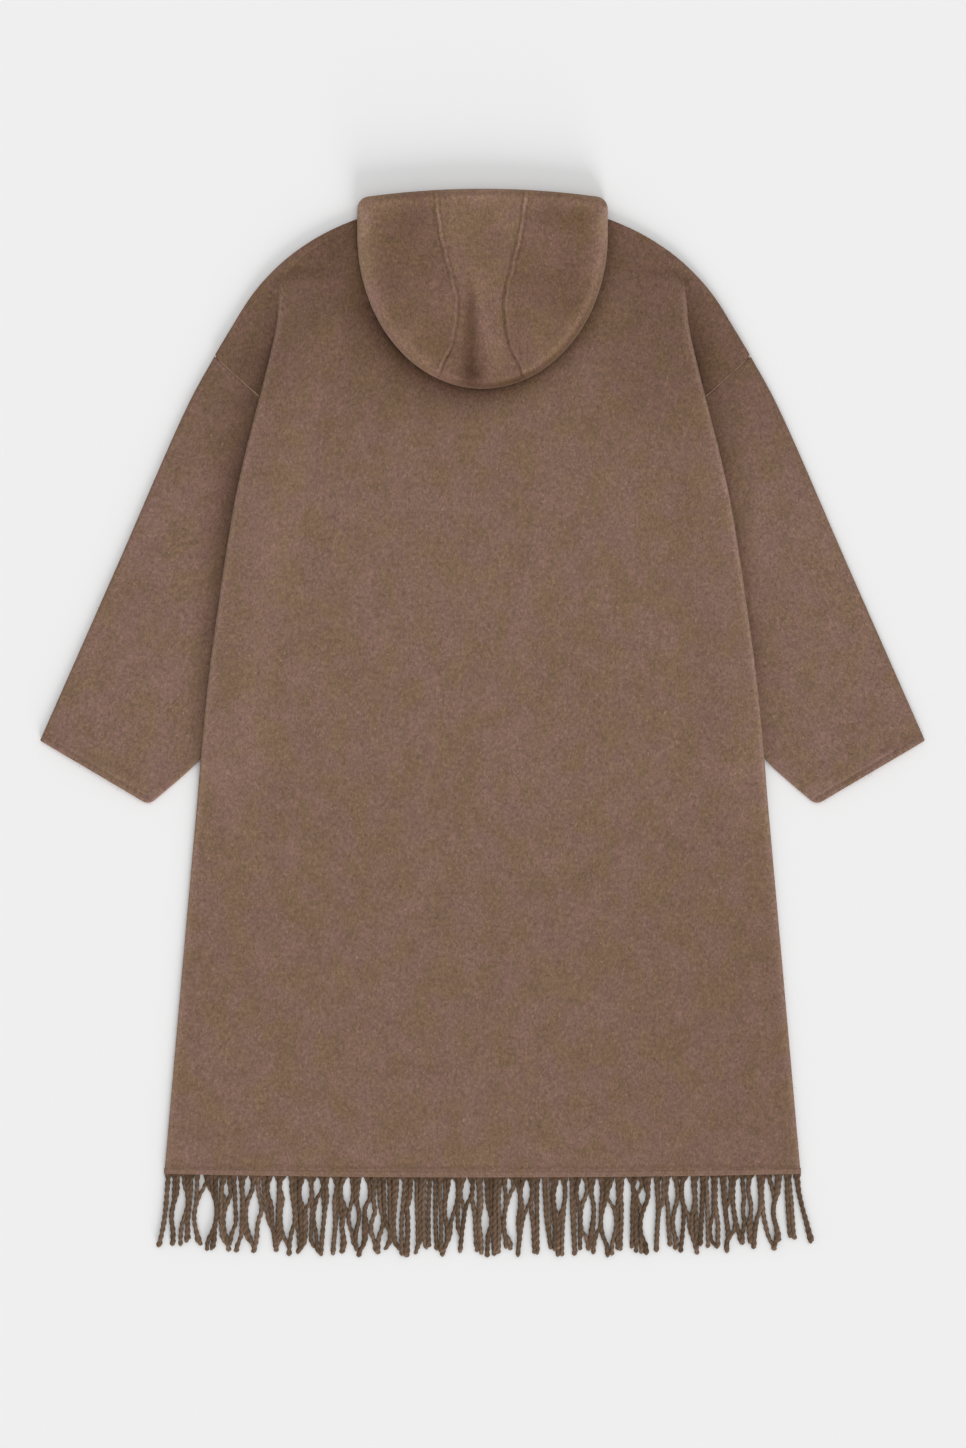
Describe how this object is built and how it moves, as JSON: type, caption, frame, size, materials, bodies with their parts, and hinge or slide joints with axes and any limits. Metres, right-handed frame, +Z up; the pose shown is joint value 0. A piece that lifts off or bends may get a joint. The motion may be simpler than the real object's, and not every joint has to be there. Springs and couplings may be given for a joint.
{
  "type": "hooded fringed wool coat, laid flat",
  "caption": "Hooded wool coat laid flat back up, with wide straight sleeves partly under lapped side folds, a hood turned back at the neck and twisted fringe along the hem.",
  "frame": {"origin": "centre of the coat's outline on the surface that it lies on", "axes": "+Y from the hem towards the hood, +Z up out of the surface, +X towards the wearer's right sleeve"},
  "size_m": [0.99, 1.195, 0.0188],
  "materials": {
    "body_wool": "brushed taupe wool, double-faced, fine short nap",
    "sleeve_wool": "brushed taupe wool, double-faced, fine short nap",
    "hood_wool": "brushed taupe wool, double-faced, fine short nap",
    "fringe_wool": "twisted wool yarn, taupe with light and dark flecks"
  },
  "bodies": {
    "root": {"back": "body_wool", "front_left": "body_wool", "front_right": "body_wool", "sleeve_left": "sleeve_wool", "sleeve_right": "sleeve_wool", "hood_left": "hood_wool", "hood_centre": "hood_wool", "hood_right": "hood_wool", "hood_under": "hood_wool", "fringe_back": "fringe_wool", "fringe_front_left": "fringe_wool", "fringe_front_right": "fringe_wool"}
  },
  "joints": []
}
